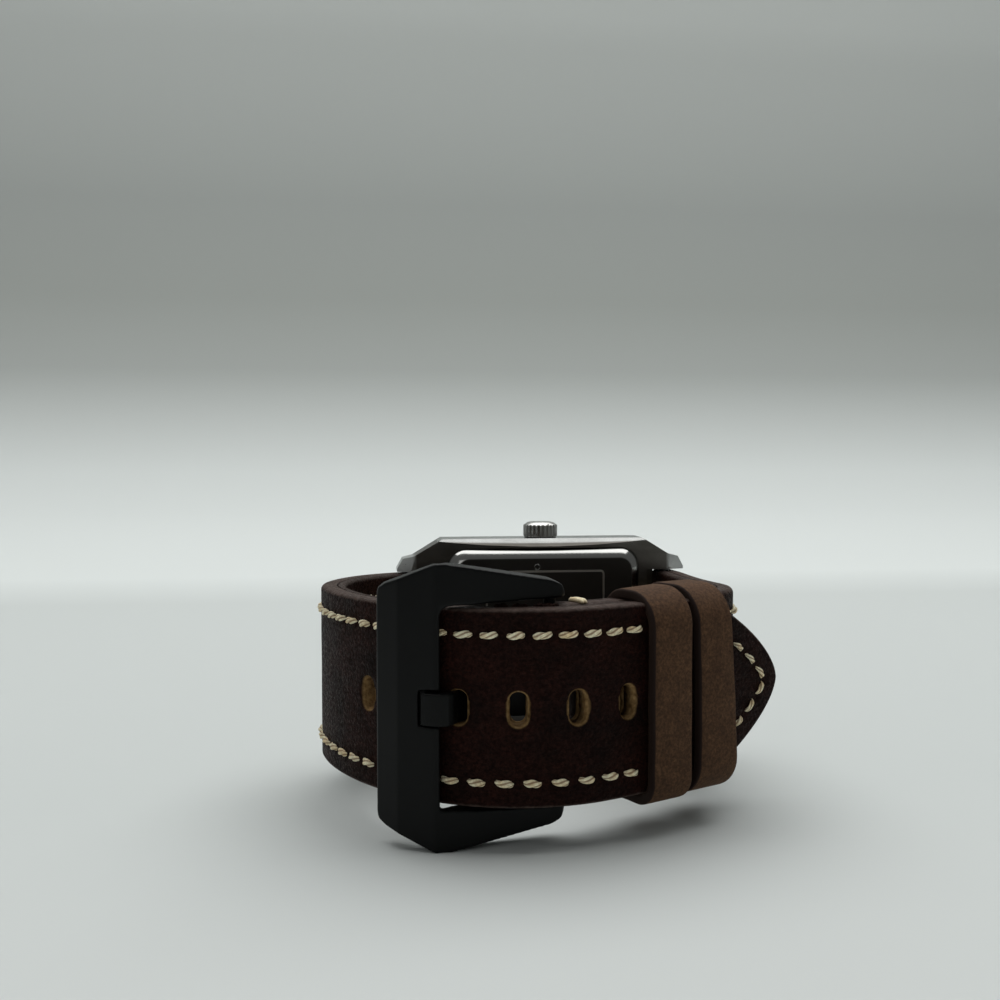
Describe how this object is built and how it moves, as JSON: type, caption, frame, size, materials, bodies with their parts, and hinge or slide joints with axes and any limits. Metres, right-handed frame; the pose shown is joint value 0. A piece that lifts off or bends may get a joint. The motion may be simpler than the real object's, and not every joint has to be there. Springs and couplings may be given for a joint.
{
  "type": "rectangular wristwatch",
  "caption": "Rectangular wristwatch with cut-corner case, fluted crown and a thick stitched leather strap closed by a wide tongue buckle and loose keepers.",
  "frame": {"origin": "middle of the bounding box in plan, at the level on which the 9 o'clock flank and the buckle stand", "axes": "+Z towards the crown at 3 o'clock, +Y the way the dial faces, +X towards 12 o'clock"},
  "size_m": [0.0623, 0.0506, 0.0377],
  "materials": {
    "case_steel": "brushed flanks with polished chamfers",
    "back_steel": "polished",
    "bezel_steel": "satin",
    "crown_steel": "satin, fluted",
    "glass": "clear",
    "gasket_rubber": "matte",
    "dial_paint": "matte cream",
    "ring_black": "matte black",
    "marker_steel": "polished",
    "hand_black": "satin",
    "hand_red": "satin",
    "holder_plastic": "matte",
    "plate_metal": "fine matte",
    "bridge_metal": "fine matte",
    "board_green": "matte",
    "coil_copper": "varnished copper wire",
    "core_iron": "plain",
    "battery_steel": "satin",
    "spring_steel": "satin",
    "screw_blue": "blued",
    "wheel_brass": "satin",
    "rotor_magnet": "satin",
    "stem_steel": "satin",
    "bar_steel": "satin",
    "upper_leather": "dark waxed, painted edges",
    "lining_leather": "natural, matte",
    "keeper_leather": "napped brown",
    "black_coating": "matte black coated steel"
  },
  "bodies": {
    "case_and_strap": {"case_middle": "case_steel", "bezel": "bezel_steel", "crystal": "glass", "crystal_gasket": "gasket_rubber", "case_back": "back_steel", "case_back_gasket": "gasket_rubber", "dial": "dial_paint", "dial_ring": "ring_black", "hour_markers": "marker_steel", "movement_ring": "holder_plastic", "main_plate": "plate_metal", "train_bridge": "bridge_metal", "circuit_board": "board_green", "coil": "coil_copper", "coil_core": "core_iron", "stator": "core_iron", "battery": "battery_steel", "battery_clamp": "spring_steel", "movement_screws": "screw_blue", "crown_tube": "bar_steel", "spring_bar_tubes": "bar_steel", "long_strap_upper": "upper_leather", "long_strap_lining": "lining_leather", "short_strap_upper": "upper_leather", "short_strap_lining": "lining_leather", "fixed_keeper": "keeper_leather"},
    "crown_slide": {"crown_seal": "gasket_rubber"},
    "crown": {"crown": "crown_steel", "setting_stem": "stem_steel"},
    "minute_work": {"minute_hand": "hand_black", "cannon_pinion": "wheel_brass"},
    "hour_work": {"hour_hand": "hand_black", "hour_wheel": "wheel_brass"},
    "minute_wheel": {"minute_wheel": "wheel_brass"},
    "second_work": {"second_hand": "hand_red", "seconds_wheel": "wheel_brass"},
    "third_wheel": {"third_wheel": "wheel_brass"},
    "centre_wheel": {"centre_wheel": "wheel_brass"},
    "intermediate_wheel": {"intermediate_wheel": "wheel_brass"},
    "rotor": {"rotor": "rotor_magnet"},
    "tip_6_upper": {"tip_6_upper": "bar_steel"},
    "tip_6_lower": {"tip_6_lower": "bar_steel"},
    "tip_12_upper": {"tip_12_upper": "bar_steel"},
    "tip_12_lower": {"tip_12_lower": "bar_steel"},
    "sliding_keeper": {"sliding_keeper": "keeper_leather"},
    "buckle": {"buckle_frame": "black_coating", "buckle_pin": "black_coating"},
    "tongue": {"buckle_tongue": "black_coating"}
  },
  "joints": [
    {"name": "crown_pull", "type": "slide", "parent": "case_and_strap", "child": "crown_slide", "axis": [0, 0, 1], "range_m": [0, 0.0012]},
    {"name": "crown_turn", "type": "hinge", "parent": "crown_slide", "child": "crown", "pos_m": [0.00299, 0.02083, 0.0354], "axis": [0, 0, 1], "continuous": true},
    {"name": "minute_turn", "type": "hinge", "parent": "case_and_strap", "child": "minute_work", "pos_m": [0.00299, 0.02113, 0.0174], "axis": [0, -1, 0], "continuous": true},
    {"name": "hour_turn", "type": "hinge", "parent": "case_and_strap", "child": "hour_work", "pos_m": [0.00299, 0.02113, 0.0174], "axis": [0, -1, 0], "continuous": true},
    {"name": "minute_wheel_turn", "type": "hinge", "parent": "case_and_strap", "child": "minute_wheel", "pos_m": [0.00131, 0.02113, 0.01449], "axis": [0, -1, 0], "continuous": true},
    {"name": "second_turn", "type": "hinge", "parent": "case_and_strap", "child": "second_work", "pos_m": [0.00299, 0.02113, 0.0174], "axis": [0, -1, 0], "continuous": true},
    {"name": "third_wheel_turn", "type": "hinge", "parent": "case_and_strap", "child": "third_wheel", "pos_m": [0.00593, 0.02113, 0.0191], "axis": [0, -1, 0], "continuous": true},
    {"name": "centre_wheel_turn", "type": "hinge", "parent": "case_and_strap", "child": "centre_wheel", "pos_m": [0.00299, 0.02113, 0.0174], "axis": [0, -1, 0], "continuous": true},
    {"name": "intermediate_turn", "type": "hinge", "parent": "case_and_strap", "child": "intermediate_wheel", "pos_m": [-0.0003, 0.02113, 0.0186], "axis": [0, -1, 0], "continuous": true},
    {"name": "rotor_turn", "type": "hinge", "parent": "case_and_strap", "child": "rotor", "pos_m": [-0.00077, 0.02113, 0.02126], "axis": [0, -1, 0], "continuous": true},
    {"name": "tip_6_upper_push", "type": "slide", "parent": "case_and_strap", "child": "tip_6_upper", "axis": [0, 0, -1], "range_m": [0, 0.0011], "stiffness_N_per_m": 800, "springref_m": -0.0005},
    {"name": "tip_6_lower_push", "type": "slide", "parent": "case_and_strap", "child": "tip_6_lower", "axis": [0, 0, 1], "range_m": [0, 0.0011], "stiffness_N_per_m": 800, "springref_m": -0.0005},
    {"name": "tip_12_upper_push", "type": "slide", "parent": "case_and_strap", "child": "tip_12_upper", "axis": [0, 0, -1], "range_m": [0, 0.0011], "stiffness_N_per_m": 800, "springref_m": -0.0005},
    {"name": "tip_12_lower_push", "type": "slide", "parent": "case_and_strap", "child": "tip_12_lower", "axis": [0, 0, 1], "range_m": [0, 0.0011], "stiffness_N_per_m": 800, "springref_m": -0.0005},
    {"name": "keeper_slide", "type": "slide", "parent": "case_and_strap", "child": "sliding_keeper", "axis": [0.8778, 0.4789, 0], "range_m": [-0.0008, 0.0008]},
    {"name": "buckle_swing", "type": "hinge", "parent": "case_and_strap", "child": "buckle", "pos_m": [-0.00244, -0.01968, 0.0174], "axis": [0, 0, 1], "range_deg": [0, 2]},
    {"name": "tongue_lift", "type": "hinge", "parent": "buckle", "child": "tongue", "pos_m": [-0.00244, -0.01968, 0.0174], "axis": [0, 0, 1], "range_deg": [0, 1]}
  ],
  "couplings": [
    {"joint": "hour_turn", "follows": "minute_turn", "ratio": 0.083333},
    {"joint": "minute_wheel_turn", "follows": "minute_turn", "ratio": -0.33333},
    {"joint": "third_wheel_turn", "follows": "second_turn", "ratio": -0.13333},
    {"joint": "centre_wheel_turn", "follows": "second_turn", "ratio": 0.016667},
    {"joint": "intermediate_turn", "follows": "second_turn", "ratio": -6},
    {"joint": "rotor_turn", "follows": "second_turn", "ratio": 30}
  ]
}
